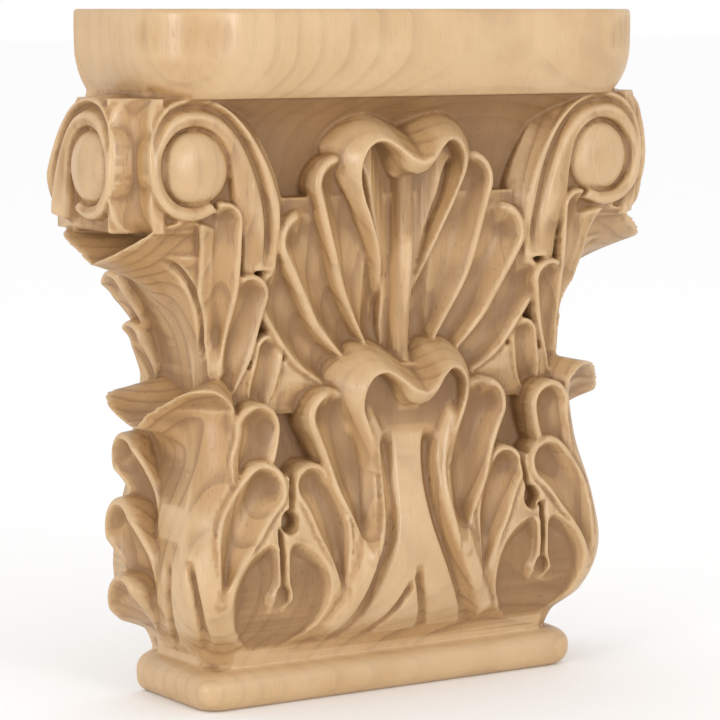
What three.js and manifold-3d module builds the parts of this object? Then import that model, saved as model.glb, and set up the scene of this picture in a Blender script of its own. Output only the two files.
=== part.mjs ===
// Carved maple capital for a flat pilaster: plinth, leaf-covered bell, four scrolls and an abacus, one block.
// Millimetres, +Z up, front towards -Y, flat back at +Y, origin under the middle of the capital.
import * as THREE from 'three';
import { ParametricGeometry } from 'three/addons/geometries/ParametricGeometry.js';
import { mergeVertices } from 'three/addons/utils/BufferGeometryUtils.js';
import Module from 'manifold-3d';

const wasm = await Module();
wasm.setup();

// ---------------------------------------------------------------- driving dimensions
const HEIGHT = 229;
const BACK = 23.3;
const ABACUS_BOTTOM = 200.5;

// Rows of plan sections: height, half width, distance of the front from the middle plane, corner radius.
const PLINTH = [[0, 72, 20, 7], [1.2, 73.6, 21.8, 7], [4, 75, 23.3, 7], [9, 75, 23.3, 7], [12, 73, 21.5, 7],
  [13.5, 70, 18.5, 7]];
const GROUND = [[8, 67, 17, 8], [20, 71, 22, 11], [28, 77, 28, 12], [43, 80.5, 31.5, 14], [56, 78, 30, 14],
  [66, 72, 24, 14], [81, 68, 20.5, 13], [105, 66, 17, 12], [125, 66, 16.5, 12], [146, 74, 17, 12],
  [158, 90, 17.5, 12], [175, 94, 18.5, 12], [192, 94, 22, 12], [203, 92, 32, 16]];
const LOWER = [[12, 69, 18.5, 10], [19, 71, 21, 12], [28, 79, 30, 14], [43, 83.5, 35, 15], [62, 81, 34, 15],
  [81, 76, 31, 15], [95, 79, 30, 16], [103, 85, 30, 18], [110, 92, 30, 18]];
const UPPER = [[100, 71, 22, 14], [113, 72, 24, 14], [125, 74, 24.5, 15], [138, 80, 26, 16], [148, 92, 27, 17],
  [156, 104, 27, 18], [200, 104, 27, 18]];
const ABACUS = [[ABACUS_BOTTOM, 90, 34, 20], [203, 92.2, 36.5, 22], [207, 94.4, 38.8, 24], [212, 96, 40.6, 26],
  [217, 96.6, 41.2, 27], [228.2, 96.6, 41.2, 27], [HEIGHT, 95.8, 40.4, 26]];

// ---------------------------------------------------------------- numbers
const mix = (a, b, t) => a + (b - a) * t;
const clamp01 = (t) => Math.min(1, Math.max(0, t));
const smooth = (t) => clamp01(t) ** 2 * (3 - 2 * clamp01(t));

// Smooth value of a table whose rows start with z: a cubic between rows, with slopes from the neighbours.
function tableAt(rows, z, column) {
  const last = rows.length - 1;
  if (z <= rows[0][0]) return rows[0][column];
  if (z >= rows[last][0]) return rows[last][column];
  const i = rows.findIndex((row, k) => k < last && z < rows[k + 1][0]);
  const slope = (k) => {
    const lo = rows[Math.max(0, k - 1)];
    const hi = rows[Math.min(last, k + 1)];
    return (hi[column] - lo[column]) / (hi[0] - lo[0]);
  };
  const span = rows[i + 1][0] - rows[i][0];
  const t = (z - rows[i][0]) / span;
  const a = rows[i][column];
  const b = rows[i + 1][column];
  const ma = slope(i) * span;
  const mb = slope(i + 1) * span;
  return (2 * t ** 3 - 3 * t ** 2 + 1) * a + (t ** 3 - 2 * t ** 2 + t) * ma
    + (3 * t ** 2 - 2 * t ** 3) * b + (t ** 3 - t ** 2) * mb;
}

// Point of a tier: s runs along the plan outline from the front's middle, h stands off the surface.
function tierPoint(tier, s, z, h) {
  const a = tableAt(tier, z, 1);
  const b = tableAt(tier, z, 2);
  const r = tableAt(tier, z, 3);
  const side = Math.sign(s) || 1;
  const u = Math.abs(s);
  const arcEnd = a - r + (Math.PI / 2) * r;
  if (u <= a - r) return new THREE.Vector3(s, -b - h, z);
  if (u <= arcEnd) {
    const phi = (u - a + r) / r;
    return new THREE.Vector3(side * (a - r + (r + h) * Math.sin(phi)), -b + r - (r + h) * Math.cos(phi), z);
  }
  return new THREE.Vector3(side * (a + h), Math.min(BACK, -b + r + u - arcEnd), z);
}

// Way from the front's middle round the corner to the flat back.
const tierEnd = (tier, z) => {
  const r = tableAt(tier, z, 3);
  return tableAt(tier, z, 1) - 2 * r + (Math.PI / 2) * r + tableAt(tier, z, 2) + BACK;
};

// ---------------------------------------------------------------- solids
// Closed solid through rings of points; both ends are closed by a fan to the ring's middle.
function ringSolid(rings) {
  const count = rings[0].length;
  const middle = (ring) => ring.reduce((sum, p) => sum.add(p), new THREE.Vector3()).divideScalar(count);
  const rows = [rings[0].map(() => middle(rings[0])), ...rings, rings[0].map(() => middle(rings.at(-1)))];
  const stacks = rows.length - 1;
  const surface = (u, v, target) => {
    target.copy(rows[Math.round(v * stacks)][Math.round(u * count) % count]);
  };
  const geometry = new ParametricGeometry(surface, count, stacks);
  return solidFrom(geometry);
}

function solidFrom(geometry) {
  geometry.deleteAttribute('normal');
  geometry.deleteAttribute('uv');
  const merged = mergeVertices(geometry, 1e-4);
  const index = merged.index.array;
  const triangles = [];
  for (let i = 0; i < index.length; i += 3) {
    const [a, b, c] = [index[i], index[i + 1], index[i + 2]];
    if (a !== b && b !== c && c !== a) triangles.push(a, b, c);
  }
  const build = (triVerts) => new wasm.Manifold(new wasm.Mesh({
    numProp: 3, vertProperties: new Float32Array(merged.attributes.position.array),
    triVerts: new Uint32Array(triVerts) }));
  const solid = build(triangles);
  if (solid.volume() > 0) return solid;
  const turned = [];
  for (let i = 0; i < triangles.length; i += 3) turned.push(triangles[i], triangles[i + 2], triangles[i + 1]);
  return build(turned);
}

// Upright solid with rounded front corners and a flat back.
function planLoft(rows, levels, cornerSteps) {
  const ring = (z) => {
    const a = tableAt(rows, z, 1);
    const b = tableAt(rows, z, 2);
    const r = tableAt(rows, z, 3);
    const points = [];
    for (let k = 0; k <= cornerSteps; k += 1) {
      const phi = (Math.PI / 2) * (k / cornerSteps);
      points.push(new THREE.Vector3(a - r + r * Math.sin(phi), -b + r - r * Math.cos(phi), z));
    }
    points.push(new THREE.Vector3(a, BACK, z));
    const mirrored = points.map((p) => new THREE.Vector3(-p.x, p.y, p.z)).reverse();
    return [...points, ...mirrored];
  };
  return ringSolid(levels.map(ring));
}

const levelsBetween = (z0, z1, count) => Array.from({ length: count + 1 }, (_, i) => mix(z0, z1, i / count));

// A carved lobe: a spoon laid along a curve on a tier, hollow in the middle, with a rim around its tip.
const RIM = 0.78;
const EDGE_DROP = 2.2;
function lobe({ tier, from, via, to, width, root = 0.45, rise, hollow = 3, bury = 9, tip = 0.35, point = 0.5,
  belly = 0.6, steps = [2, 2], top = 4 }) {
  const path = new THREE.QuadraticBezierCurve(new THREE.Vector2(...from), new THREE.Vector2(...via),
    new THREE.Vector2(...to));
  const body = Array.from({ length: steps[0] }, (_, i) => (1 - tip) * (i / steps[0]));
  const ends = Array.from({ length: steps[1] + 1 }, (_, i) => {
    const quarter = (Math.PI / 2) * 0.94 * (i / steps[1]);
    return (1 - tip) + tip * Math.sin(quarter);
  });
  const rings = [...body, ...ends].map((t) => {
    const centre = path.getPoint(t);
    const tangent = path.getTangent(t);
    const tau = clamp01((t - (1 - tip)) / tip);
    const swell = mix(root, 1, smooth(t / belly));
    const half = (width / 2) * swell * Math.max(0.04, 1 - tau ** 2) ** point;
    const height = mix(rise[0], rise[1], t ** 1.5);
    const sink = hollow * smooth(t / 0.35);
    const at = (q, h) => tierPoint(tier, centre.x + tangent.y * q * half, centre.y - tangent.x * q * half, h);
    const points = [];
    for (let k = 0; k <= top; k += 1) {
      const q = Math.sin((Math.PI / 2) * mix(-1, 1, k / top));
      const r = Math.sqrt(q * q * (1 - tau * tau) + tau * tau);
      const dish = r < RIM ? sink * (1 - (r / RIM) ** 2.2) : 0;
      const fall = r > RIM ? EDGE_DROP * ((r - RIM) / (1 - RIM)) ** 2 : 0;
      points.push(at(q, height - dish - fall));
    }
    points.push(at(1.04, -bury), at(-1.04, -bury));
    return points;
  });
  return ringSolid(rings);
}

// A leaf's curled end: a hook-shaped section carried along the plan outline, waving up and down as it goes.
function lip({ tier, span, wave, steps = 11, curve = 2, thick = 3.2 }) {
  const rings = [];
  for (let i = 0; i <= steps; i += 1) {
    const u = mix(-1, 1, i / steps);
    const s = mix(span[0], span[1], i / steps);
    const { crest, rim, root } = wave(u);
    const at = ([h, z]) => tierPoint(tier, s, z, h);
    const outer = new THREE.QuadraticBezierCurve(new THREE.Vector2(...crest),
      new THREE.Vector2(mix(crest[0], rim[0], 0.62), crest[1] + 1.5), new THREE.Vector2(...rim));
    const inside = [rim[0] - thick * 0.7, rim[1] - 1.2];
    const inner = new THREE.QuadraticBezierCurve(new THREE.Vector2(...inside),
      new THREE.Vector2(mix(root[0], rim[0], 0.45), rim[1] + 4.5), new THREE.Vector2(...root));
    const section = [];
    for (let k = 0; k <= curve; k += 1) section.push(outer.getPoint(k / curve).toArray());
    section.push([rim[0] - 0.2, rim[1] - 1.6]);
    for (let k = 0; k <= curve; k += 1) section.push(inner.getPoint(k / curve).toArray());
    section.push([root[0] - 6, root[1] - 6], [crest[0] - 6, mix(root[1], crest[1], 0.6)]);
    rings.push(section.map(at));
  }
  return ringSolid(rings);
}

// ---------------------------------------------------------------- leaves
// Each row is one lobe of the right half; the left half is its mirror image.
const UPPER_CENTRE_LOBES = [
  { from: [3, 106], via: [8, 148], to: [12, 186], width: 19, rise: [0, 0], hollow: 5 },
  { from: [5, 104], via: [20, 146], to: [28, 183], width: 20, rise: [0, 1.5], hollow: 4.5 },
  { from: [8, 102], via: [30, 134], to: [45, 168], width: 20, rise: [0.5, 1.5], hollow: 4.5 },
  { from: [14, 100], via: [38, 118], to: [54, 146], width: 19, rise: [0, 1], hollow: 4 },
];
const UPPER_SIDE_LOBES = [
  { from: [71, 100], via: [64, 140], to: [68, 170], width: 16, rise: [2, 5], hollow: 3.5 },
  { from: [62, 96], via: [55, 122], to: [56, 145], width: 15, rise: [1, 3], hollow: 3.5 },
  { from: [56, 96], via: [49, 110], to: [47, 124], width: 12, rise: [0, 1], hollow: 3 },
];
const UPPER_BACK_LOBES = [
  { from: [100, 112], via: [106, 128], to: [112, 146], width: 20, rise: [0, 4], hollow: 3, top: 2 },
  { from: [98, 96], via: [104, 108], to: [108, 126], width: 18, rise: [-1, 4], hollow: 3, top: 2 },
];
const LOWER_CENTRE_LOBES = [
  { from: [40, 12], via: [0, 46], to: [17, 104], width: 15, rise: [-0.5, 0], hollow: 3.5 },
  { from: [18, 30], via: [24, 76], to: [36, 107], width: 19, rise: [0, 1], hollow: 4 },
  { from: [22, 18], via: [30, 60], to: [45, 82], width: 17, rise: [-0.5, 0], hollow: 3.5 },
];
const LOWER_SIDE_LOBES = [
  { from: [63, 60], via: [61, 84], to: [59, 105], width: 18, rise: [1, 1], hollow: 4 },
  { from: [78, 22], via: [73, 64], to: [51, 82], width: 21, rise: [0, 0.5], hollow: 4.5 },
  { from: [56, 16], via: [69, 42], to: [59, 60], width: 15, rise: [0, 0.5], hollow: 4 },
  { from: [50, 16], via: [37, 42], to: [47, 60], width: 15, rise: [0, 0.5], hollow: 4 },
];
const LOWER_BACK_LOBES = [
  { from: [104, 58], via: [108, 76], to: [116, 90], width: 18, rise: [-1, 8], hollow: 3, top: 2 },
  { from: [104, 32], via: [112, 52], to: [121, 67], width: 20, rise: [-1, 8], hollow: 3, top: 2 },
  { from: [102, 10], via: [112, 28], to: [124, 44], width: 20, rise: [-1, 7], hollow: 3, top: 2 },
];

const flip = (row, side) => ({
  ...row, from: [side * row.from[0], row.from[1]], via: [side * row.via[0], row.via[1]],
  to: [side * row.to[0], row.to[1]] });
const pairs = (tier, rows) => rows.flatMap((row) => [1, -1].map((side) => lobe({ tier, ...flip(row, side) })));

const rib = lobe({ tier: UPPER, from: [0, 106], via: [0, 140], to: [0, 178], width: 7, root: 0.9,
  rise: [3, 5], hollow: -1.5 });

// Smooth stem of the lower middle leaf: narrow at the curl, flaring to the plinth.
const STEM = { bottom: 14, top: 100, flare: 31, neck: 6.8, proud: 2 };
function stem() {
  const rings = levelsBetween(STEM.bottom, STEM.top, 6).map((z) => {
    const t = (z - STEM.bottom) / (STEM.top - STEM.bottom);
    const half = mix(STEM.neck, STEM.flare, (1 - t) ** 2.4);
    const arc = Array.from({ length: 7 }, (_, k) => {
      const q = mix(-1, 1, k / 6);
      return tierPoint(LOWER, q * half, z, STEM.proud * Math.sqrt(1 - q * q * 0.98) - 0.5);
    });
    return [...arc, tierPoint(LOWER, half, z, -10), tierPoint(LOWER, -half, z, -10)];
  });
  return ringSolid(rings);
}

// The curled end of a middle leaf: two arches, a dipping tongue between them and sloping shoulders.
const middleWave = (base) => (u) => {
  const arch = Math.exp(-(((Math.abs(u) - 0.48) / 0.24) ** 2));
  const shoulder = smooth((Math.abs(u) - 0.6) / 0.4);
  return {
    crest: [-8, base + 11 + 7 * arch - 6 * shoulder],
    rim: [12 - 3 * shoulder, base - 6 + 15 * arch - 2 * shoulder],
    root: [-1, base - 12 + 8 * arch],
  };
};
const upperLip = lip({ tier: UPPER, span: [-30, 30], wave: middleWave(178) });
const lowerLip = lip({ tier: LOWER, span: [-30, 30], wave: middleWave(101) });

// Body of a corner leaf: from its front edge round the corner to the back, following its tier.
function cornerLeaf(tier, side, front, levels, depth) {
  const rings = levels.map((z) => {
    const end = tierEnd(tier, z);
    const outer = Array.from({ length: 6 }, (_, k) => tierPoint(tier, side * mix(front, end, k / 5), z, 0));
    const inner = [tierPoint(tier, side * end, z, -depth), tierPoint(tier, side * front, z, -depth)];
    return [...outer, ...inner];
  });
  return ringSolid(rings);
}

// The curled end of a corner leaf: a front and a side hump with a dip on the corner between them.
const cornerWave = (base, reach) => (u) => {
  const hump = Math.exp(-(((Math.abs(u + 0.1) - 0.55) / 0.3) ** 2));
  const edge = smooth((Math.abs(u) - 0.75) / 0.25);
  return {
    crest: [-6, base + 2 + 6 * hump - 5 * edge],
    rim: [reach - 4 * edge, base - 3 + 6 * hump - 7 * edge],
    root: [-2, base - 14],
  };
};

// ---------------------------------------------------------------- scrolls
const SCROLL = { x: 81, z: 178, disc: 11.4, face: 30.4, edge: 107.5, turn: 77.1 };

// A point on the front face of the right scroll, or on its side face, which mirrors it across the corner.
function scrollPoint(side, onSide, x, y, z) {
  return onSide ? new THREE.Vector3(side * (SCROLL.turn - y), SCROLL.turn - x, z)
    : new THREE.Vector3(side * x, y, z);
}

function scrollBlock(side) {
  const rings = levelsBetween(0, 1, 6).map((t) => {
    const z = mix(157, 200, t);
    const bulge = -9 * Math.abs(2 * t - 1) ** 4 - 1.5 * Math.abs(2 * t - 1) ** 2;
    const inner = 46 + 26 * clamp01((z - 160) / 40) ** 1.8;
    const plan = [[inner, -18], [inner + 1.5, -24], [inner + 10, -27], [94, -28], [99.5 + bulge, -22.6],
      [105, -17 ], [104, -4], [101, 8], [97, BACK + 2], [60, BACK + 2]];
    return plan.map(([x, y]) => new THREE.Vector3(side * (x > 90 ? x + bulge : x), y, z));
  });
  return ringSolid(rings);
}

function scrollDisc(side, onSide) {
  const rings = levelsBetween(0, 1, 3).map((t) => {
    const radius = SCROLL.disc * Math.cos((Math.PI / 2) * 0.92 * t ** 1.2);
    const y = -SCROLL.face + 9 - 9.6 * Math.sin((Math.PI / 2) * t);
    return Array.from({ length: 10 }, (_, k) => {
      const angle = (2 * Math.PI * k) / 10;
      return scrollPoint(side, onSide, SCROLL.x + radius * Math.cos(angle), y, SCROLL.z + radius * Math.sin(angle));
    });
  });
  return ringSolid(rings);
}

// Raised band along a flat curve of the scroll's face; width and height follow the distance along it.
function band(side, onSide, curve, width, height, steps) {
  const rings = levelsBetween(0, 1, steps).map((t) => {
    const p = curve.getPoint(t);
    const d = curve.getTangent(t);
    const w = width(t) / 2;
    const top = height(t);
    const section = [[-1, top - 9], [-1, top - 1.6], [-0.5, top], [0.5, top], [1, top - 1.6], [1, top - 9]];
    return section.map(([q, h]) => scrollPoint(side, onSide, p.x - d.y * q * w, -h, p.y + d.x * q * w));
  });
  return ringSolid(rings);
}

function scrollBands(side, onSide) {
  const curve = (points) => new THREE.CatmullRomCurve3(points.map(([x, y]) => new THREE.Vector3(x, y, 0)));
  const outer = curve([[48, 148], [47, 166], [54, 182], [66, 193], [80, 197], [93, 193], [100, 182], [100, 168],
    [93, 162]]);
  const inner = curve([[58, 148], [58, 168], [65, 182], [75, 191], [86, 190], [93, 181], [91, 168], [82, 163],
    [72, 166]]);
  return [
    band(side, onSide, outer, () => 6.5, (t) => mix(24, 30.6, smooth(t * 2)), 5),
    band(side, onSide, inner, () => 6, (t) => mix(25, 30.2, smooth(t * 2)), 5),
  ];
}

// ---------------------------------------------------------------- cuts
function pit(tier, side, s, z, width, height, depth) {
  const ring = (h, grow) => Array.from({ length: 8 }, (_, k) => {
    const angle = (2 * Math.PI * k) / 8;
    const across = grow * (width / 2) * Math.cos(angle);
    const up = grow * (height / 2) * Math.sin(angle);
    return tierPoint(tier, side * (s + across), z + up, h);
  });
  return ringSolid([ring(-depth, 0.7), ring(8, 1.1)]);
}

// ---------------------------------------------------------------- assembly
const parts = [
  planLoft(PLINTH, [0, 1.2, 4, 9, 12, 13.5], 2),
  planLoft(GROUND, [8, 25, 43, 66, 81, 105, 125, 146, 158, 180, 203], 2),
  planLoft(ABACUS, [ABACUS_BOTTOM, 203, 207, 212, 218, HEIGHT], 5),
  ...pairs(UPPER, UPPER_CENTRE_LOBES),
  ...pairs(UPPER, UPPER_SIDE_LOBES),
  ...pairs(LOWER, LOWER_CENTRE_LOBES),
  ...pairs(LOWER, LOWER_SIDE_LOBES),
  ...pairs(UPPER, UPPER_BACK_LOBES),
  ...pairs(LOWER, LOWER_BACK_LOBES),
  rib,
  stem(),
  upperLip,
  lowerLip,
];
for (const side of [1, -1]) {
  parts.push(cornerLeaf(LOWER, side, 66, [12, 20, 28, 43, 62, 81, 95], 12));
  parts.push(cornerLeaf(UPPER, side, 72, [98, 125, 138, 148], 14));
  parts.push(lip({ tier: LOWER, span: [side * 62, side * 118], wave: cornerWave(101, 7), steps: 10 }));
  parts.push(lip({ tier: UPPER, span: [side * 68, side * 130], wave: cornerWave(152, 6), steps: 10 }));
  parts.push(scrollBlock(side));
  for (const onSide of [false, true]) parts.push(scrollDisc(side, onSide), ...scrollBands(side, onSide));
}
const EYE = { s: 53, z: 38, width: 5, height: 9, depth: 9 };
const cuts = [1, -1].map((side) => pit(LOWER, side, EYE.s, EYE.z, EYE.width, EYE.height, EYE.depth));

const keep = new THREE.BoxGeometry(400, 400, HEIGHT);
keep.translate(0, BACK - 200, HEIGHT / 2);
const box = solidFrom(keep);
let block = parts.reduce((whole, piece) => whole.add(piece));
block = cuts.reduce((whole, cut) => whole.subtract(cut), block).intersect(box);
// Small voids trapped between the roots of the lobes are wood: only the outer shell is kept.
block = block.decompose().reduce((outer, shell) => (shell.volume() > outer.volume() ? shell : outer));

function geometryOf(solid) {
  const mesh = solid.getMesh();
  const geometry = new THREE.BufferGeometry();
  geometry.setAttribute('position', new THREE.BufferAttribute(new Float32Array(mesh.vertProperties), 3));
  geometry.setIndex(new THREE.BufferAttribute(new Uint32Array(mesh.triVerts), 1));
  geometry.computeBoundingBox();
  const { min, max } = geometry.boundingBox;
  geometry.translate(-(min.x + max.x) / 2, -(min.y + max.y) / 2, -min.z);
  geometry.computeVertexNormals();
  return geometry;
}

const maple = new THREE.MeshStandardMaterial({ color: 0xd8b483, roughness: 0.55, metalness: 0 });
const capital = new THREE.Mesh(geometryOf(block), maple);
capital.name = 'capital';

const model = new THREE.Group();
model.add(capital);
export default model;
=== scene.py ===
"""Carved maple capital for a flat pilaster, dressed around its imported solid.

The carving is worked out in millimetres in the carver's own frame: +Z up, the front
towards -Y, the flat back at Y = BACK, the middle at X = 0.  A tier is an upright surface
with rounded front corners; every leaf, curl and stem is laid on a tier by s (the way round
it from the front's middle), z (height) and h (how proud it stands).
"""
import logging
import math
from dataclasses import dataclass
from enum import Enum
from typing import Protocol

import bpy
import numpy as np
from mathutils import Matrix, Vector


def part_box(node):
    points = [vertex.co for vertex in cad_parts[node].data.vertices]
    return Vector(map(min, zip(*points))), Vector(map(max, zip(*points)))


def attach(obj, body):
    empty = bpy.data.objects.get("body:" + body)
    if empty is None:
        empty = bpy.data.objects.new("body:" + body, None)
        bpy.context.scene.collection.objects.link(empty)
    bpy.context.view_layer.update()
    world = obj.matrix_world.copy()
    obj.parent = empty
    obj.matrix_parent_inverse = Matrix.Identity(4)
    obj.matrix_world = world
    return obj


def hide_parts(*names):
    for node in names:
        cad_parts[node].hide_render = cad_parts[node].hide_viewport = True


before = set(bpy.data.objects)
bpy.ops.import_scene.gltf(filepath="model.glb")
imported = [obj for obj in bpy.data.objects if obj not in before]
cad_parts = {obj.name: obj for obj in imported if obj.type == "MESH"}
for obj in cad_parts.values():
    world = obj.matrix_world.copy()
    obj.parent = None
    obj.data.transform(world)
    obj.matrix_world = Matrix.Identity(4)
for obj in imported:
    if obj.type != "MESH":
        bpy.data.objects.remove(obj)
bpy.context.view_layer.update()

LOG = logging.getLogger("capital")

MM = 0.001
BACK = 23.3
HEIGHT = 229.0
NODE = "capital"
VOXEL = 0.55
SOFTENING = 3
TRIANGLES = 190_000
NEAR_ROUNDS, NEAR_DEPTH = 5, 0.00016
FAR_ROUNDS, FAR_DEPTH = 45, 0.0011


# ---------------------------------------------------------------- numbers
def smooth(t: np.ndarray) -> np.ndarray:
    """Ease from 0 to 1: three t squared minus two t cubed, held at both ends.

    Args:
        t: Values to ease.

    Returns:
        Eased values, from 0 to 1.
    """
    t = np.clip(t, 0.0, 1.0)
    return t * t * (3.0 - 2.0 * t)


@dataclass(frozen=True)
class Tier:
    """Upright surface given by rows of z, half width, front distance and corner radius."""

    rows: tuple[tuple[float, float, float, float], ...]

    def section(self, z: np.ndarray) -> tuple[np.ndarray, np.ndarray, np.ndarray]:
        """Half width, front distance and corner radius at each height.

        Between two rows each value is the cubic whose end slopes are those of the chords
        through the neighbouring rows.

        Args:
            z: Heights in millimetres.

        Returns:
            Three arrays shaped as z.
        """
        table = np.array(self.rows)
        levels, values = table[:, 0], table[:, 1:]
        low = np.maximum(np.arange(len(levels)) - 1, 0)
        high = np.minimum(np.arange(len(levels)) + 1, len(levels) - 1)
        slopes = (values[high] - values[low]) / (levels[high] - levels[low])[:, None]
        z = np.clip(z, levels[0], levels[-1])
        i = np.clip(np.searchsorted(levels, z, side="right") - 1, 0, len(levels) - 2)
        span = levels[i + 1] - levels[i]
        t = ((z - levels[i]) / span)[..., None]
        span = span[..., None]
        found = ((2 * t**3 - 3 * t**2 + 1) * values[i] + (t**3 - 2 * t**2 + t) * slopes[i] * span
                 + (3 * t**2 - 2 * t**3) * values[i + 1] + (t**3 - t**2) * slopes[i + 1] * span)
        return found[..., 0], found[..., 1], found[..., 2]

    def point(self, s: np.ndarray, z: np.ndarray, h: np.ndarray) -> np.ndarray:
        """Place of (s, z, h): straight along the front, round the corner arc, back along the side.

        Args:
            s: Way along the plan outline from the front's middle, negative to the left.
            z: Height.
            h: Distance off the surface, outwards.

        Returns:
            Points, one axis longer than s.
        """
        s, z, h = np.broadcast_arrays(np.asarray(s, float), np.asarray(z, float), np.asarray(h, float))
        a, b, r = self.section(z)
        side = np.where(s < 0, -1.0, 1.0)
        u = np.abs(s)
        arc_end = a - r + math.pi / 2 * r
        phi = np.clip((u - a + r) / r, 0.0, math.pi / 2)
        on_front = u <= a - r
        x = np.where(on_front, u, a - r + (r + h) * np.sin(phi))
        y = np.where(on_front, -b - h, -b + r - (r + h) * np.cos(phi))
        past = u > arc_end
        x = np.where(past, a + h, x)
        y = np.where(past, np.minimum(BACK + 2.0, -b + r + u - arc_end), y)
        return np.stack([side * x, y, z], axis=-1)

    def end(self, z: np.ndarray) -> np.ndarray:
        """Way from the front's middle to the flat back: front, quarter arc and side added up.

        Args:
            z: Heights.

        Returns:
            One length for each height.
        """
        a, b, r = self.section(z)
        return a - 2 * r + math.pi / 2 * r + b + BACK


PLINTH = Tier(((0, 72, 20, 7), (1.2, 73.6, 21.8, 7), (4, 75, 23.3, 7), (9, 75, 23.3, 7), (12, 73, 21.5, 7),
               (13.5, 70, 18.5, 7)))
GROUND = Tier(((8, 67, 17, 8), (20, 71, 22, 11), (28, 77, 28, 12), (43, 80.5, 31.5, 14), (56, 78, 30, 14),
               (66, 72, 24, 14), (81, 68, 20.5, 13), (105, 66, 17, 12), (125, 66, 16.5, 12),
               (146, 74, 17, 12),
               (158, 84, 17.5, 12), (175, 92, 18.5, 12), (192, 94, 22, 12), (203, 92, 32, 16)))
LOWER = Tier(((12, 69, 18.5, 10), (19, 71, 21, 12), (28, 79, 30, 14), (43, 83.5, 35, 15), (62, 81, 34, 15),
              (81, 76, 31, 15), (95, 76, 30, 16), (103, 77, 30, 17), (116, 78, 30, 17)))
UPPER = Tier(((96, 71, 22, 14), (113, 72, 24, 14), (125, 74, 24.5, 15), (138, 79, 26, 16), (148, 84, 27, 17),
              (156, 86, 27, 18), (200, 88, 27, 18)))
CORE = Tier(((140, 76, 16, 14), (150, 84, 20, 16), (158, 92, 23, 17), (168, 96, 24, 17)))
ABACUS = Tier(((200.5, 90, 34, 20), (203, 92.2, 36.5, 22), (207, 94.4, 38.8, 24), (212, 96, 40.6, 26),
               (217, 96.6, 41.2, 27), (228.2, 96.6, 41.2, 27), (229, 95.8, 40.4, 26)))


# ---------------------------------------------------------------- meshes
class Shell:
    """Closed meshes gathered into one list of points and faces."""

    def __init__(self) -> None:
        """Start with nothing."""
        self.points: list[np.ndarray] = []
        self.faces: list[np.ndarray] = []
        self.count = 0

    def add_rings(self, rings: np.ndarray) -> None:
        """Join rings of points into a closed tube with a fan on each end, facing outwards.

        Args:
            rings: Array of rings by points by three.
        """
        n, m, _ = rings.shape
        points = np.concatenate([rings.reshape(-1, 3), rings[0].mean(0)[None], rings[-1].mean(0)[None]])
        i, j = np.meshgrid(np.arange(n - 1), np.arange(m), indexing="ij")
        k = (j + 1) % m
        a, b, c, d = i * m + j, i * m + k, (i + 1) * m + k, (i + 1) * m + j
        halves = (np.stack([a, b, c], -1), np.stack([a, c, d], -1))
        body = np.concatenate([half.reshape(-1, 3) for half in halves])
        ring = np.arange(m)
        after = (ring + 1) % m
        first = np.stack([after, ring, np.full(m, n * m)], -1)
        last = np.stack([(n - 1) * m + ring, (n - 1) * m + after, np.full(m, n * m + 1)], -1)
        faces = np.concatenate([body, first, last])
        p, q, r = points[faces[:, 0]], points[faces[:, 1]], points[faces[:, 2]]
        if np.einsum("ij,ij->i", p, np.cross(q, r)).sum() < 0:
            faces = faces[:, ::-1]
        self.points.append(points)
        self.faces.append(faces + self.count)
        self.count += len(points)

    def build(self, name: str) -> bpy.types.Object:
        """Make one object of everything gathered.

        Args:
            name: The object's name.

        Returns:
            The new object, in the scene.
        """
        return make_object(name, np.concatenate(self.points), np.concatenate(self.faces))


def make_object(name: str, points: np.ndarray, faces: np.ndarray) -> bpy.types.Object:
    """Make an object of triangles.

    Args:
        name: The object's name.
        points: Points by three.
        faces: Triangles by three indices.

    Returns:
        The object, linked to the scene.
    """
    mesh = bpy.data.meshes.new(name)
    mesh.vertices.add(len(points))
    mesh.vertices.foreach_set("co", points.astype(np.float32).ravel())
    mesh.loops.add(faces.size)
    mesh.loops.foreach_set("vertex_index", faces.astype(np.int32).ravel())
    mesh.polygons.add(len(faces))
    mesh.polygons.foreach_set("loop_start", np.arange(0, faces.size, 3, dtype=np.int32))
    mesh.update(calc_edges=True)
    piece = bpy.data.objects.new(name, mesh)
    bpy.context.scene.collection.objects.link(piece)
    return piece


# ---------------------------------------------------------------- curves
def catmull(points: tuple[tuple[float, ...], ...], steps: int = 40) -> np.ndarray:
    """Smooth curve through the points, by the Catmull-Rom formula.

    Args:
        points: Points that the curve passes, of any dimension.
        steps: Number of points returned, less one.

    Returns:
        Points by dimension.
    """
    p = np.array(points, float)
    p = np.vstack([2 * p[0] - p[1], p, 2 * p[-1] - p[-2]])
    u = np.linspace(0, len(points) - 1, steps + 1)
    i = np.minimum(u.astype(int), len(points) - 2)
    t = (u - i)[:, None]
    a, b, c, d = p[i], p[i + 1], p[i + 2], p[i + 3]
    return 0.5 * (2 * b + (c - a) * t + (2 * a - 5 * b + 4 * c - d) * t**2 + (3 * b - a - 3 * c + d) * t**3)


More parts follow.
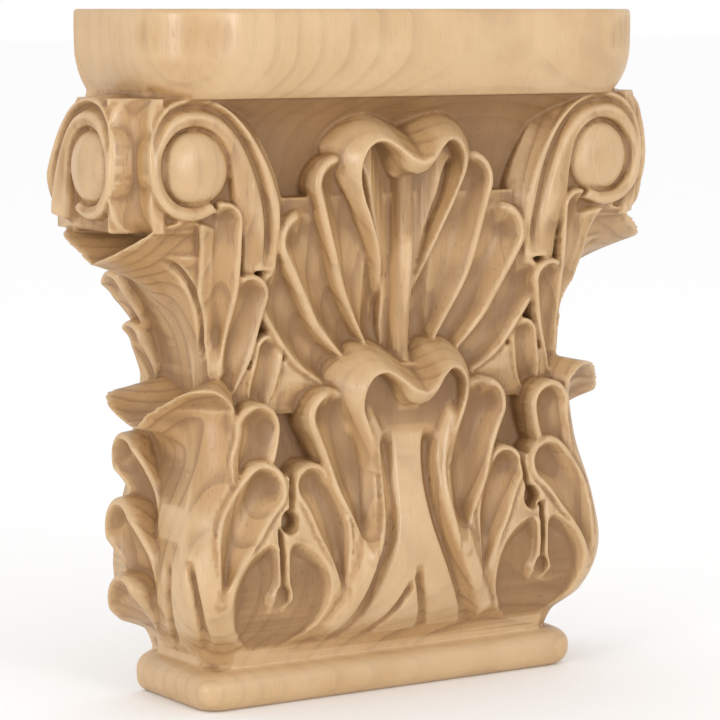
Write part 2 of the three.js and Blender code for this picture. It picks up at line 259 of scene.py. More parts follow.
def nearest(path: np.ndarray, p: np.ndarray) -> tuple[np.ndarray, np.ndarray, np.ndarray]:
    """Nearest place of a path to each point.

    Args:
        path: Points of the path, by two or three.
        p: Points to measure, by the same dimension.

    Returns:
        Distance, share of the path's length, and in two dimensions the sine of the angle
        between the path and the way to the point, positive on the path's left.
    """
    steps = np.diff(path, axis=0)
    lengths = np.linalg.norm(steps, axis=1)
    before = np.concatenate([[0.0], np.cumsum(lengths)])
    best = np.full(len(p), np.inf)
    share = np.zeros(len(p))
    turn = np.zeros(len(p))
    for a, ab, length, start in zip(path[:-1], steps, lengths, before):
        w = p - a
        t = np.clip(w @ ab / (length * length), 0.0, 1.0)
        away = w - t[:, None] * ab
        d = np.linalg.norm(away, axis=1)
        closer = d < best
        best[closer] = d[closer]
        share[closer] = ((start + t * length) / before[-1])[closer]
        if path.shape[1] == 2:
            cross = ab[0] * away[:, 1] - ab[1] * away[:, 0]
            turn[closer] = (cross / (length * np.maximum(d, 1e-6)))[closer]
    return best, share, turn


# ---------------------------------------------------------------- relief
@dataclass(frozen=True)
class Petal:
    """Spoon-shaped lobe of a leaf: a hollow within a rounded rim, laid over what is there."""

    start: tuple[float, float]
    via: tuple[float, float]
    tip: tuple[float, float]
    width: float
    rise: tuple[float, float] = (0.0, 0.0)
    hollow: float = 4.5
    root: float = 0.25
    belly: float = 0.6
    open: float = 0.0
    rim: float = 0.8
    drop: float = 1.2
    curl: float = 1.5

    def lay(self, s: np.ndarray, z: np.ndarray, h: np.ndarray) -> None:
        """Lay the lobe over the relief.

        The middle line is the quadratic curve start-via-tip, less half a width at its end.
        With r the distance to it over the lobe's half width there, the top is sunk by hollow
        times (1 - (r/rim)^2.2) inside the rim and falls by drop times the square of
        (r - rim)/(1 - rim) outside it.  On the open side, towards the capital's middle, the
        rim is lower by the share open.

        Args:
            s: Way round of each point of the relief.
            z: Height of each point.
            h: How proud each point stands, changed in place.
        """
        p0, p1, p2 = (np.array(p, float) for p in (self.start, self.via, self.tip))
        t = np.linspace(0.0, 1.0, 49)[:, None]
        last = p2 - p1
        p2 = p2 - last / np.linalg.norm(last) * self.width / 2
        path = (1 - t) ** 2 * p0 + 2 * t * (1 - t) * p1 + t**2 * p2
        reach = self.width / 2 + 1.0
        low, high = path.min(0) - reach, path.max(0) + reach
        near = (s > low[0]) & (s < high[0]) & (z > low[1]) & (z < high[1])
        d, share, turn = nearest(path, np.stack([s[near], z[near]], -1))
        half = self.width / 2 * (self.root + (1 - self.root) * smooth(share / self.belly))
        r = d / half
        side = 1.0 - self.open * smooth(1.6 * turn)
        sink = self.hollow * smooth(share / 0.3)
        dish = np.where(r < self.rim, 1.0 - side * (np.minimum(r, self.rim) / self.rim) ** 2.2, 1.0 - side)
        fall = self.drop * (np.clip(r - self.rim, 0.0, None) / (1 - self.rim)) ** 2
        top = self.rise[0] + (self.rise[1] - self.rise[0]) * share**self.curl - sink * dish - fall
        over = smooth((1.05 - r) * half / 0.8 + 0.4)
        h[near] += over * (top - h[near])


@dataclass(frozen=True)
class Stroke:
    """Gouged line, or a raised one where the depth is negative."""

    points: tuple[tuple[float, float], ...]
    width: float
    depth: float
    taper: float = 0.2
    power: float = 1.5

    def lay(self, s: np.ndarray, z: np.ndarray, h: np.ndarray) -> None:
        """Lower the relief by depth times (1 - (d/width)^2)^power, fading out at both ends.

        Args:
            s: Way round of each point of the relief.
            z: Height of each point.
            h: How proud each point stands, changed in place.
        """
        path = catmull(self.points)
        low, high = path.min(0) - self.width, path.max(0) + self.width
        near = (s > low[0]) & (s < high[0]) & (z > low[1]) & (z < high[1])
        d, share, _ = nearest(path, np.stack([s[near], z[near]], -1))
        ends = smooth(share / self.taper) * smooth((1 - share) / self.taper) if self.taper else 1.0
        h[near] -= self.depth * ends * np.maximum(0.0, 1 - (d / self.width) ** 2) ** self.power


@dataclass(frozen=True)
class Eye:
    """Round eye of a leaf: a broad trough round a drop-shaped hole, with a slit above it."""

    s: float = 52.0
    z: float = 38.3
    outer: float = 19.2
    inner: float = 3.6
    hollow: float = 5.6
    hole: tuple[float, float] = (2.7, 4.8)
    hole_floor: float = -9.0
    slit: float = 1.3
    slit_length: float = 24.0
    slit_floor: float = -5.0

    def lay(self, s: np.ndarray, z: np.ndarray, h: np.ndarray) -> None:
        """Lay the eye over the relief.

        In polar coordinates about the hole the trough is hollow times the sine of pi times
        q^0.8, q running from 0 at the inner rim to 1 at the outer one.  It fades out beside
        the slit.  The hole is an ellipse, and the slit a narrow groove above it.

        Args:
            s: Way round of each point of the relief.
            z: Height of each point.
            h: How proud each point stands, changed in place.
        """
        x, y = s - self.s, z - self.z
        r = np.hypot(x, y)
        angle = np.arctan2(y, x)
        outer = self.outer - 2.6 * np.exp(-(((angle - math.pi / 2) / 0.16) ** 2))
        near = r < outer + 1.0
        q = np.clip((r - self.inner) / (outer - self.inner), 0.0, 1.0)
        beside = np.where(y > 0, smooth((np.abs(x) - 1.2) / 4.0), 1.0)
        top = 0.6 - (self.hollow + 0.6) * np.sin(math.pi * q**0.8) ** 0.85 * beside
        over = smooth((outer + 0.3 - r) / 0.9)
        h[near] += (over * (top - h))[near]
        gap = smooth((self.slit - np.abs(x - 0.02 * y)) / 0.9) * smooth((y + 1.0) / 2.0)
        gap = gap * smooth((self.slit_length - y) / 3.0)
        hole = np.hypot(x / self.hole[0], (y + 0.5) / self.hole[1])
        h[...] = np.minimum(h, np.where(gap > 0, h * (1 - gap) + gap * self.slit_floor, h))
        sunk = h + (self.hole_floor - h) * smooth((1.15 - hole) / 0.35)
        h[...] = np.minimum(h, np.where(hole < 1.15, sunk, h))


@dataclass(frozen=True)
class Pocket:
    """Dark pocket between lobes: an oval sunk to a depth."""

    s: float
    z: float
    width: float
    height: float
    depth: float

    def lay(self, s: np.ndarray, z: np.ndarray, h: np.ndarray) -> None:
        """Sink the oval to its depth, with sloping walls.

        Args:
            s: Way round of each point of the relief.
            z: Height of each point.
            h: How proud each point stands, changed in place.
        """
        r = np.hypot((s - self.s) / self.width * 2, (z - self.z) / self.height * 2)
        h[...] = np.minimum(h, h + (-self.depth - h) * smooth((1.1 - r) / 0.4))


@dataclass(frozen=True)
class Humps:
    """Top of a corner leaf: a front and a side hump whose rim flares out to the corner's tip.

    rim holds rows of s, the rim's height, how far it stands out and where the slope behind
    it meets the bell.
    """

    rim: tuple[tuple[float, float, float, float], ...]
    base: float
    power: float
    ground: float
    dish: float = 3.0

    def lay(self, s: np.ndarray, z: np.ndarray, h: np.ndarray) -> None:
        """Raise the leaf.

        Below the rim the leaf stands out by its reach times t to a power, t running from 0 at
        the base to 1 at the rim, less a shallow dish under the rim.  Above the rim it falls
        straight back to the ground.

        Args:
            s: Way round of each point of the relief.
            z: Height of each point.
            h: How proud each point stands, changed in place.
        """
        rows = catmull(self.rim, 120)
        order = np.argsort(rows[:, 0])
        rim_z, reach, back_z = (np.interp(s, rows[order, 0], rows[order, k]) for k in (1, 2, 3))
        first, last = self.rim[0][0], self.rim[-1][0]
        inside = smooth((s - first + 1.0) / 2.0) * smooth((last - s + 1.0) / 2.0)
        t = np.clip((z - self.base) / (rim_z - self.base), 0.0, 1.0)
        flare = reach * t**self.power - self.dish * np.sin(math.pi * t**3) * smooth((s - first) / 4.0)
        drop = (z - rim_z) / np.maximum(back_z - rim_z, 0.5)
        above = reach + (self.ground - reach) * np.clip(drop, 0.0, 1.0) ** 0.8
        leaf = np.where(z < rim_z, np.maximum(h, -1.0) + flare, above)
        h += inside * (np.where(z > self.base, leaf, h) - h)


class Layer(Protocol):
    """Anything that can be laid on a tier's relief."""

    def lay(self, s: np.ndarray, z: np.ndarray, h: np.ndarray) -> None:
        """Change the heights h in place at the points s, z."""


@dataclass(frozen=True)
class Relief:
    """A tier's carved skin: everything laid on it in order, closed by the flat back."""

    tier: Tier
    bottom: float
    top: float
    ground: float
    body: tuple[tuple[float, float], ...]
    layers: tuple[Layer, ...]
    left: tuple[Layer, ...] = ()
    right: tuple[Layer, ...] = ()
    step: float = 0.5

    def rings(self) -> np.ndarray:
        """Level rings, from the left back edge round the front to the right one.

        The relief starts at the ground and rises to 0 below the body's outline; both halves
        take the layers by the size of s, then each half its own.

        Returns:
            Rings by points by three.
        """
        z = np.arange(self.bottom, self.top, self.step)[:, None]
        end = self.tier.end(z) + 1.0
        half = int(end.max() / self.step)
        share = np.linspace(0.0, 1.0, half)[None, :]
        s = end * share
        z_all = np.broadcast_to(z, s.shape).copy()
        edge = np.interp(s, [p[0] for p in self.body], [p[1] for p in self.body])
        h = self.ground * smooth((z_all - edge) / 1.5)
        for layer in self.layers:
            layer.lay(s, z_all, h)
        sides = []
        for own in (self.left, self.right):
            mine = h.copy()
            for layer in own:
                layer.lay(s, z_all, mine)
            sides.append(mine)
        s = np.concatenate([-s[:, :0:-1], s], axis=1)
        h = np.concatenate([sides[0][:, :0:-1], sides[1]], axis=1)
        return self.tier.point(s, z, h)


@dataclass(frozen=True)
class Curl:
    """Rolled end of a middle leaf: two arches, a tongue between them, and legs that run down.

    Each rail is a row of (s, z, h) for the right half, from the middle to the end of the leg.
    """

    tier: Tier
    crest: tuple[tuple[float, float, float], ...]
    rim: tuple[tuple[float, float, float], ...]
    inner: tuple[tuple[float, float, float], ...]
    thick: tuple[float, ...]

    def rings(self, steps: int = 110, curve: int = 12) -> np.ndarray:
        """Sections carried along the rails.

        Each section bends from the crest to the rim, crosses the rim's rounded edge and
        bends back to the inner rail; both bends are quadratic curves.

        Args:
            steps: Sections on each half.
            curve: Points on each bend.

        Returns:
            Rings by points by three.
        """
        crest, rim, inner = (catmull(rail, steps) for rail in (self.crest, self.rim, self.inner))
        thick = catmull(tuple((w,) for w in self.thick), steps)
        t = np.linspace(0.0, 1.0, curve)[None, :, None]
        aim = (inner - rim) * np.array([1.0, 1.0, 0.5])
        under = rim + thick * aim / np.linalg.norm(aim, axis=1, keepdims=True)
        knee = 0.5 * (crest + rim) + np.array([0.0, 1.5, 2.5]) * smooth(thick - 1.0)
        outer = (1 - t) ** 2 * crest[:, None] + 2 * t * (1 - t) * knee[:, None] + t**2 * rim[:, None]
        k = np.linspace(0.0, 1.0, 7)[None, 1:-1, None]
        edge = rim[:, None] + k * (under - rim)[:, None]
        edge = edge + np.sin(math.pi * k) * thick[:, None] * np.array([0.0, 0.12, 0.32])
        bend = 0.35 * under + 0.65 * inner + np.array([0.0, 2.0, 0.0])
        hollow = (1 - t) ** 2 * under[:, None] + 2 * t * (1 - t) * bend[:, None] + t**2 * inner[:, None]
        foot = np.stack([inner - [0.0, 0.0, 6.0], crest - [0.0, 0.0, 6.0]], axis=1)
        section = np.concatenate([outer, edge, hollow, foot], axis=1)
        mirror = section[:0:-1] * np.array([-1.0, 1.0, 1.0])
        whole = np.concatenate([mirror, section])
        return self.tier.point(whole[..., 0], whole[..., 1], whole[..., 2])


@dataclass(frozen=True)
class PlanBlock:
    """Upright block between two heights of a tier, flat at the back."""

    tier: Tier
    bottom: float
    top: float

    def rings(self, steps: int = 40, columns: int = 24) -> np.ndarray:
        """Level outlines: the right half's front and corner, the back, and the left half's mirror.

        Args:
            steps: Number of outlines.
            columns: Points round each corner.

        Returns:
            Rings by points by three.
        """
        z = np.linspace(self.bottom, self.top, steps)[:, None]
        a, b, r = self.tier.section(z)
        phi = np.linspace(0.0, math.pi / 2, columns)[None, :]
        x = a - r + r * np.sin(phi)
        y = -b + r - r * np.cos(phi)
        x = np.concatenate([x, a], axis=1)
        y = np.concatenate([y, np.full_like(a, BACK)], axis=1)
        x = np.concatenate([x, -x[:, ::-1]], axis=1)
        y = np.concatenate([y, y[:, ::-1]], axis=1)
        return np.stack([x, y, np.broadcast_to(z, x.shape)], axis=-1)


class Face(Enum):
    """The two faces of a corner scroll."""

    FRONT = "front"
    SIDE = "side"


@dataclass(frozen=True)
class Scroll:
    """Corner scroll: a ribbon that rises from its collar, turns over and winds round a domed eye."""

    side: int
    eye_x: float = 80.0
    eye_z: float = 178.6
    eye_radius: float = 12.4
    face: float = 29.4
    turn: float = 77.1
    block_low: float = 158.0
    block_high: float = 200.8
    outer: tuple[tuple[float, float], ...] = (
        (49.5, 145), (48.6, 156), (49.6, 168), (54.2, 180), (61.5, 191), (70.5, 198.6), (81, 201),
        (90.6, 198.4), (96.4, 190), (97.6, 179), (95.4, 169.5), (89.2, 163.6), (81, 162), (73, 164.5))
    inner: tuple[tuple[float, float], ...] = (
        (62, 145), (63, 155), (66, 165), (67.2, 175), (69.4, 184), (74, 189.6), (80.5, 191.8),
        (87.6, 190), (92.2, 184.6), (93.3, 178.5), (91.8, 172.2), (87.4, 167.6), (81, 166.4), (75.5, 167.6))

    def place(self, face: Face, x: np.ndarray, y: np.ndarray, z: np.ndarray) -> np.ndarray:
        """Carry a point of the front face to either face: on the side (x, y) becomes (turn - y, turn - x).

        Args:
            face: Which face.
            x: Way across.
            y: Depth.
            z: Height.

        Returns:
            Points, one axis longer than x.
        """
        if face is Face.SIDE:
            x, y = self.turn - y, self.turn - x
        x, y, z = np.broadcast_arrays(self.side * x, y, z)
        return np.stack([x, y, z], axis=-1)

    def ribbon(self, face: Face, steps: int = 150) -> np.ndarray:
        """Ribbon between its inner and outer outline.

        With q from 0 at the inner edge to 1 at the outer edge, the height is a low dome less
        a channel, a bell curve nearer the outer edge that fades at the top; the outer wall
        leans out beside the bell.

        Args:
            face: Which face.
            steps: Sections along the ribbon.

        Returns:
            Rings by points by three.
        """
        outer, inner = catmull(self.outer, steps), catmull(self.inner, steps)
        if face is Face.SIDE:
            low = int(0.13 * steps)
            outer[:low], inner[:low] = outer[low], inner[low]
        t = np.linspace(0.0, 1.0, steps + 1)[:, None]
        q = np.sin(np.linspace(-math.pi / 2, math.pi / 2, 41))[None, :] * 0.5 + 0.5
        width = np.linalg.norm(outer - inner, axis=1)[:, None]
        channel = 3.4 * smooth(t / 0.08) * smooth((0.70 - t) / 0.22)
        groove = channel * np.exp(-(((q - 0.68) * width / 1.55) ** 2))
        edge = 1.6 * np.clip((np.abs(2 * q - 1) - 0.86) / 0.14, 0.0, 1.0) ** 2
        low = 2.5 * smooth((0.16 - t) / 0.16)
        level = self.face - low + 0.8 * np.sin(math.pi * q) - groove - edge
        x = inner[:, :1] + q * (outer[:, :1] - inner[:, :1])
        z = inner[:, 1:] + q * (outer[:, 1:] - inner[:, 1:])
        lean = 4.0 * smooth((0.42 - t) / 0.1)
        out = (outer - inner) / width
        wall = outer + out * (lean + 0.6)
        foot = np.concatenate([wall, wall, inner - out * 0.8], axis=1)
        x = np.concatenate([x, foot[:, 0:1], foot[:, 2:3], foot[:, 4:5]], axis=1)
        z = np.concatenate([z, foot[:, 1:2], foot[:, 3:4], foot[:, 5:6]], axis=1)
        deep = np.concatenate([0 * t + 22.0, 0 * t + 14.0, 0 * t + 14.0], axis=1)
        y = -np.concatenate([level, deep], axis=1)
        return self.place(face, x, y, z)

    def block(self, steps: int = 50) -> np.ndarray:
        """Body behind both faces: a plan outline carried upwards, with a hollow band across the corner.

        Args:
            steps: Number of outlines.

        Returns:
            Rings by points by three.
        """
        t = np.linspace(0.0, 1.0, steps)[:, None]
        z = self.block_low + (self.block_high - self.block_low) * t
        away = np.abs(2 * t - 1)
        bulge = -7.5 * away**6
        inner = 48.0 + 20.0 * np.clip((z - 165.0) / 37.0, 0.0, 1.0) ** 1.6
        floor = self.face - 3.6
        k = np.linspace(0.0, 1.0, 13)[None, :]
        scoop = (3.2 + 1.5 * (1 - t)) * np.sin(math.pi * k)
        band_x = 96.6 + 9.9 * k + bulge * (0.35 + 0.65 * k) - scoop * 0.7
        band_y = -self.face + 1.2 + 9.9 * k - bulge * 0.35 * (1 - k) + scoop * 0.7
        front = np.concatenate([inner, inner + 1.0, inner * 0 + 90.0, inner * 0 + 92.0], axis=1)
        front_y = -np.concatenate([inner * 0 + 14.0, inner * 0 + floor, inner * 0 + floor,
                                   inner * 0 + self.face - 1.5], axis=1)
        rear_x = self.turn - front_y[:, ::-1]
        rear_y = self.turn - front[:, ::-1]
        inside = np.concatenate([inner * 0 + 62.0, inner * 0 + 56.0], axis=1)
        inside_y = np.concatenate([inner * 0 + 30.0, inner * 0 + 5.0], axis=1)
        x = np.concatenate([front, band_x, rear_x, inside], axis=1)
        y = np.concatenate([front_y, band_y, rear_y, inside_y], axis=1)
        return np.stack([self.side * x, y, np.broadcast_to(z, x.shape)], axis=-1)

    def eye(self, face: Face, steps: int = 30) -> np.ndarray:
        """Domed eye: the radius shrinks as a cosine while the height grows as a sine.

        Args:
            face: Which face.
            steps: Rings from the foot to the middle.

        Returns:
            Rings by points by three.
        """
        t = np.linspace(0.0, 0.98, steps)[:, None] * math.pi / 2
        angle = np.linspace(0.0, 2 * math.pi, 56, endpoint=False)[None, :]
        radius = self.eye_radius * np.cos(t) ** 0.7
        y = -self.face + 4.0 - 5.6 * np.sin(t)
        x, z = self.eye_x + radius * np.cos(angle), self.eye_z + radius * np.sin(angle)
        return self.place(face, x, y, z)


# ---------------------------------------------------------------- the capital's own leaves
UPPER_LEAVES = Relief(
    UPPER, 97.0, 190.0, -15.0,
    body=((0, 188), (19, 188), (23, 118), (60, 112), (68, 114), (71, 150), (140, 150)),
    layers=(
        Petal((57, 92), (53, 106), (50, 124), 11.5, (0, 1), 3.2),
        Petal((15, 100), (37, 117), (52.5, 145), 18, (0, 0.5), 4.5, open=0.8),
        Petal((11, 104), (26, 131), (44, 163), 21, (0.5, 1.5), 5.5, open=0.85),
        Petal((7, 108), (17, 142), (28.5, 181.5), 20, (0.5, 2), 5.5, open=0.85),
        Petal((68, 100), (64, 120), (58.5, 144), 14.5, (0.5, 2.5), 4.0, root=0.5),
        Petal((70, 112), (71, 138), (70.5, 168), 14, (0.5, 3.5), 4.0, root=0.4),
        Humps(((73, 159, 1, 163), (77, 161, 4, 164), (82, 161.5, 9, 165), (86, 159, 14, 165),
               (89.5, 154, 20, 166), (92.5, 149.5, 24.5, 167), (96, 148, 24, 169), (104, 151, 23.5, 171),
               (112, 154, 23, 172), (118, 156, 22, 172), (122, 157, 19, 172), (128, 157, 11, 170)),
              114.0, 3.4, -15.0),
        Stroke(((89.5, 151), (84.5, 146), (79.5, 139), (76.3, 132), (75, 124), (75, 116)), 1.5, 2.6, 0.15),
        Petal((108, 108), (112, 126), (119, 143), 17, (0, 8), 3.5),
        Petal((104, 98), (108, 110), (113, 126), 16, (0, 6), 3.5),
        Stroke(((0, 190), (0, 160), (0, 135), (0, 108)), 13.0, 3.6, 0.1, 0.6),
        Stroke(((0, 184), (0, 160), (0, 135), (0, 104)), 3.6, -6.8, 0.08, 0.6),
    ))
LOWER_LEAVES = Relief(
    LOWER, 12.0, 114.0, -13.0,
    body=((0, 112), (21, 112), (25, 98), (29, 78), (65, 77), (68, 100), (140, 100)),
    layers=(
        Petal((67.5, 70), (59, 86), (58.5, 102.5), 17, (0, 1), 4.8, root=0.35),
        Petal((74.5, 38), (71.5, 62), (50.5, 80), 18, (0, 0.5), 4.8, root=0.15, belly=0.7),
        Petal((28, 36), (30, 62), (43.5, 80), 15.5, (0, 0.5), 4.5, root=0.15, belly=0.7),
        Petal((18.5, 48), (19.5, 74), (34.5, 104.5), 19, (0, 1.5), 5.0, root=0.2, open=0.6),
        Eye(),
        Pocket(48.6, 63.0, 6.5, 8.0, 7.0),
        Stroke(((46, 81), (46.4, 74), (47.6, 66)), 1.5, 4.5, 0.05),
        Stroke(((21, 98), (15, 86), (13.3, 73), (14.2, 61), (17.8, 50), (24, 35), (33, 20)),
               5.2, -2.6, 0.08, 0.8),
        Stroke(((98, 52), (98.5, 40), (95, 28), (88, 18)), 2.3, 2.4),
        Stroke(((86.5, 53), (84.5, 43), (79.5, 30), (71.5, 19)), 2.0, 2.6),
        Humps(((66, 98, 1, 108), (68.5, 103, 2.5, 109), (73, 107, 5, 110.5), (79, 106.5, 8, 110.5),
               (83.5, 102.5, 12.5, 109), (87, 97, 17.5, 107), (90, 94.5, 17.5, 107), (97, 95, 17, 110),
               (104, 97.5, 17, 112), (110, 101, 17, 111), (114.5, 103.5, 14, 109), (117, 104, 7, 108)),
              74.0, 4.2, -13.0),
        Petal((108, 58), (112, 74), (121, 88), 17, (-1, 8), 3.5),
        Petal((108, 34), (114, 50), (124, 67), 19, (-1, 8), 3.5),
        Petal((104, 12), (112, 26), (124, 42), 19, (-1, 7), 3.5),
    ),
    left=(
        Stroke(((10.2, 90), (10.0, 72), (10.5, 56), (14.8, 43.6), (20.5, 30), (28, 18)), 3.4, 3.4, 0.08, 1.0),
        Stroke(((0.5, 40), (3.2, 33.5), (8, 26), (16, 18)), 2.0, 2.2),
    ),
    right=(
        Stroke(((8.0, 90), (7.0, 78), (7.6, 67), (10.6, 55), (15.5, 43), (22.5, 30), (31, 18)),
               3.0, 3.2, 0.08, 1.0),
        Stroke(((0.2, 44), (2.8, 36.5), (6.3, 27.6), (11, 18)), 2.2, 2.4),
    ))
ARCH_RIM = ((0, 103.6, 10.5), (4.5, 105, 10.3), (9, 108.3, 9), (13.3, 110.6, 7.5), (17.5, 109.3, 6.5),
            (20.3, 105, 5.5), (20.8, 99, 4.2))
ARCH_CREST = ((0, 115.5, -12), (5, 118, -12), (11, 120.4, -12), (17, 120.6, -12), (22.5, 118.3, -12),
              (27, 114.5, -12), (29.5, 108.5, -10))
ARCH_INNER = ((0, 97.5, 1), (4.5, 98, 0), (9, 104, -3), (13.3, 106.5, -5), (16.5, 105, -5), (17.8, 101, -4.5),
              (17.3, 96, -4))
ARCH_THICK = (6.5, 5.5, 2.6, 2.0, 2.0, 2.0, 2.0)


def raised(rail: tuple[tuple[float, float, float], ...], up: float, out: float,
           leg: tuple[tuple[float, float, float], ...]) -> tuple[tuple[float, float, float], ...]:
    """Lift a rail of the arches, move it out and add a leg.

    Args:
        rail: Rows of (s, z, h).
        up: Lift.
        out: Move outwards.
        leg: Further rows, as they are.

    Returns:
        The longer rail.
    """
    return tuple((s, z + up, h + out) for s, z, h in rail) + leg


UPPER_CURL = Curl(
    UPPER,
    raised(ARCH_CREST, 76, 3.5,
           ((27, 177, -3), (22, 168, -1), (17.5, 159, -1.5), (13, 149, -3), (10, 139, -6), (8.5, 130, -9))),
    raised(ARCH_RIM, 76, 1.5,
           ((18.5, 168, 4.0), (14.8, 160, 3.0), (10.6, 150, 1.0), (7.6, 140, -2.6), (6.0, 131, -7.0))),
    raised(ARCH_INNER, 76, 0,
           ((15.3, 165, -4), (11.6, 157, -4), (7.8, 147, -4.5), (5.4, 138, -7), (4.2, 130, -10))),
    ARCH_THICK + (2.0, 2.0, 1.8, 1.6, 1.2))
LOWER_CURL = Curl(
    LOWER,
    raised(ARCH_CREST, 0, 0, ((26.5, 101, -4), (23, 94, -1.5), (20, 86, -1.5), (18, 77, -3))),
    raised(ARCH_RIM, 0, 0, ((18.6, 92, 3.4), (16, 85, 2.2), (14, 76, 0.3))),
    raised(ARCH_INNER, 0, 0, ((14.5, 90, -4), (12, 83, -4), (11, 75, -4))),
    ARCH_THICK + (2.4, 2.8, 2.8))


class Capital:
    """The carved block: every shape, gouged lines included, is gathered and fused into one skin."""

    def __init__(self) -> None:
        """Start an empty block."""
        self.shell = Shell()

    def gather(self) -> None:
        """Add the plinth, bell, abacus, leaves and scrolls, each as a closed shape."""
        add = self.shell.add_rings
        add(PlanBlock(PLINTH, 0.0, 13.5).rings())
        add(PlanBlock(GROUND, 8.0, 203.0).rings(90))
        add(PlanBlock(ABACUS, 200.5, HEIGHT).rings(60, 40))
        add(UPPER_LEAVES.rings())
        add(LOWER_LEAVES.rings())
        add(PlanBlock(CORE, 140.0, 168.0).rings())
        add(UPPER_CURL.rings())
        add(LOWER_CURL.rings())
        for side in (1, -1):
            scroll = Scroll(side)
            add(scroll.block())
            for face in Face:
                add(scroll.ribbon(face))
                add(scroll.eye(face))

    def fuse(self) -> bpy.types.Object:
        """Turn the gathered shapes into one smooth closed skin.

        Returns:
            The carved block in millimetres, in the carver's frame.
        """
        rough = self.shell.build("capital_carving")
        run(rough, "REMESH", mode="VOXEL", voxel_size=VOXEL, adaptivity=0.0)
        run(rough, "SMOOTH", factor=0.5, iterations=SOFTENING)
        keep = PlanBox().build()
        run(rough, "BOOLEAN", operation="INTERSECT", solver="MANIFOLD", object=keep)
        bpy.data.objects.remove(keep)
        faces = len(rough.data.polygons) * 2
        LOG.info("fused skin: %d triangles", faces)
        if faces > TRIANGLES:
            run(rough, "DECIMATE", decimate_type="COLLAPSE", ratio=TRIANGLES / faces,
                use_collapse_triangulate=True)
        return rough


class PlanBox:
    """Box that trims the back, the base and the top flat."""

    def build(self) -> bpy.types.Object:
        """Make the box as a ring solid."""
        box = Shell()
        x = np.array([[-200.0, 200.0, 200.0, -200.0]])
        y = np.array([[-200.0, -200.0, BACK, BACK]])
        z = np.array([[0.0], [HEIGHT]])
        x, y, z = np.broadcast_arrays(x, y, z)
        box.add_rings(np.stack([x, y, z], axis=-1))
        return box.build("trim")


def run(piece: bpy.types.Object, kind: str, **settings: object) -> None:
    """Apply one modifier to a piece.

    Args:
        piece: The object.
        kind: Type of modifier.
        settings: Its settings by name.
    """
    modifier = piece.modifiers.new(kind.lower(), kind)
    for name, value in settings.items():
        setattr(modifier, name, value)
    graph = bpy.context.evaluated_depsgraph_get()
    mesh = bpy.data.meshes.new_from_object(piece.evaluated_get(graph), depsgraph=graph)
    piece.modifiers.clear()
    old = piece.data
    piece.data = mesh
    bpy.data.meshes.remove(old)


def read_points(mesh: bpy.types.Mesh) -> np.ndarray:
    """Read a mesh's points.

    Args:
        mesh: The mesh.

    Returns:
        Points by three.
    """
    co = np.empty(len(mesh.vertices) * 3, np.float32)
    mesh.vertices.foreach_get("co", co)
    return co.reshape(-1, 3).astype(float)


def read_normals(mesh: bpy.types.Mesh) -> np.ndarray:
    """Read a mesh's point normals.

    Args:
        mesh: The mesh.

    Returns:
        Points by three.
    """
    normals = np.empty(len(mesh.vertices) * 3, np.float32)
    mesh.vertex_normals.foreach_get("vector", normals)
    return normals.reshape(-1, 3).astype(float)


def fit_to_solid(piece: bpy.types.Object) -> None:
    """Scale to metres, square off the back, base and top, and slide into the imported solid's frame.

    Args:
        piece: The carved block, in millimetres in the carver's frame.
    """
    low, high = (np.array(corner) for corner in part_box(NODE))
    co = read_points(piece.data)
    co[:, 1] = np.minimum(co[:, 1], BACK)
    co[:, 2] = np.clip(co[:, 2], 0.0, HEIGHT)
    co *= MM
    co[:, 1] += high[1] - BACK * MM
    co = np.clip(co, low, high)
    piece.data.vertices.foreach_set("co", co.astype(np.float32).ravel())
    piece.data.update()
    piece.data.polygons.foreach_set("use_smooth", np.ones(len(piece.data.polygons), bool))


class Socket:
    """One output of a shader node that can be used in sums."""

    def __init__(self, graph: "Graph", output: bpy.types.NodeSocket) -> None:
        """Wrap an output.

        Args:
            graph: The graph the output belongs to.
            output: The node's output.
        """
        self.graph = graph
        self.output = output

    def _sum(self, kind: str, *values: "Socket | float") -> "Socket":
        """Add a Math node of one kind."""
        return self.graph.node("ShaderNodeMath", {"operation": kind}, dict(enumerate(values)))

    def __add__(self, other: "Socket | float") -> "Socket":
        """self + other."""
        return self._sum("ADD", self, other)

    def __radd__(self, other: float) -> "Socket":
        """other + self."""
        return self._sum("ADD", other, self)

    def __sub__(self, other: "Socket | float") -> "Socket":
        """self - other."""
        return self._sum("SUBTRACT", self, other)

    def __rsub__(self, other: float) -> "Socket":
        """other - self."""
        return self._sum("SUBTRACT", other, self)

    def __mul__(self, other: "Socket | float") -> "Socket":
        """self * other."""
        return self._sum("MULTIPLY", self, other)

    def __rmul__(self, other: float) -> "Socket":
        """other * self."""
        return self._sum("MULTIPLY", other, self)

    def __truediv__(self, other: "Socket | float") -> "Socket":
        """self / other."""
        return self._sum("DIVIDE", self, other)

    def __rtruediv__(self, other: float) -> "Socket":
        """other / self."""
        return self._sum("DIVIDE", other, self)

    def fract(self) -> "Socket":
        """The part after the point."""
        return self._sum("FRACT", self)

    def absolute(self) -> "Socket":
        """The value without its sign."""
        return self._sum("ABSOLUTE", self)

    def span(self, low: float, high: float, start: float = 0.0, end: float = 1.0) -> "Socket":
        """Carry low..high smoothly to start..end.

        Args:
            low: Value that gives start.
            high: Value that gives end.
            start: First result.
            end: Last result.

        Returns:
            The carried value.
        """
        return self.graph.node("ShaderNodeMapRange", {"interpolation_type": "SMOOTHSTEP"},
                               {0: self, 1: low, 2: high, 3: start, 4: end})


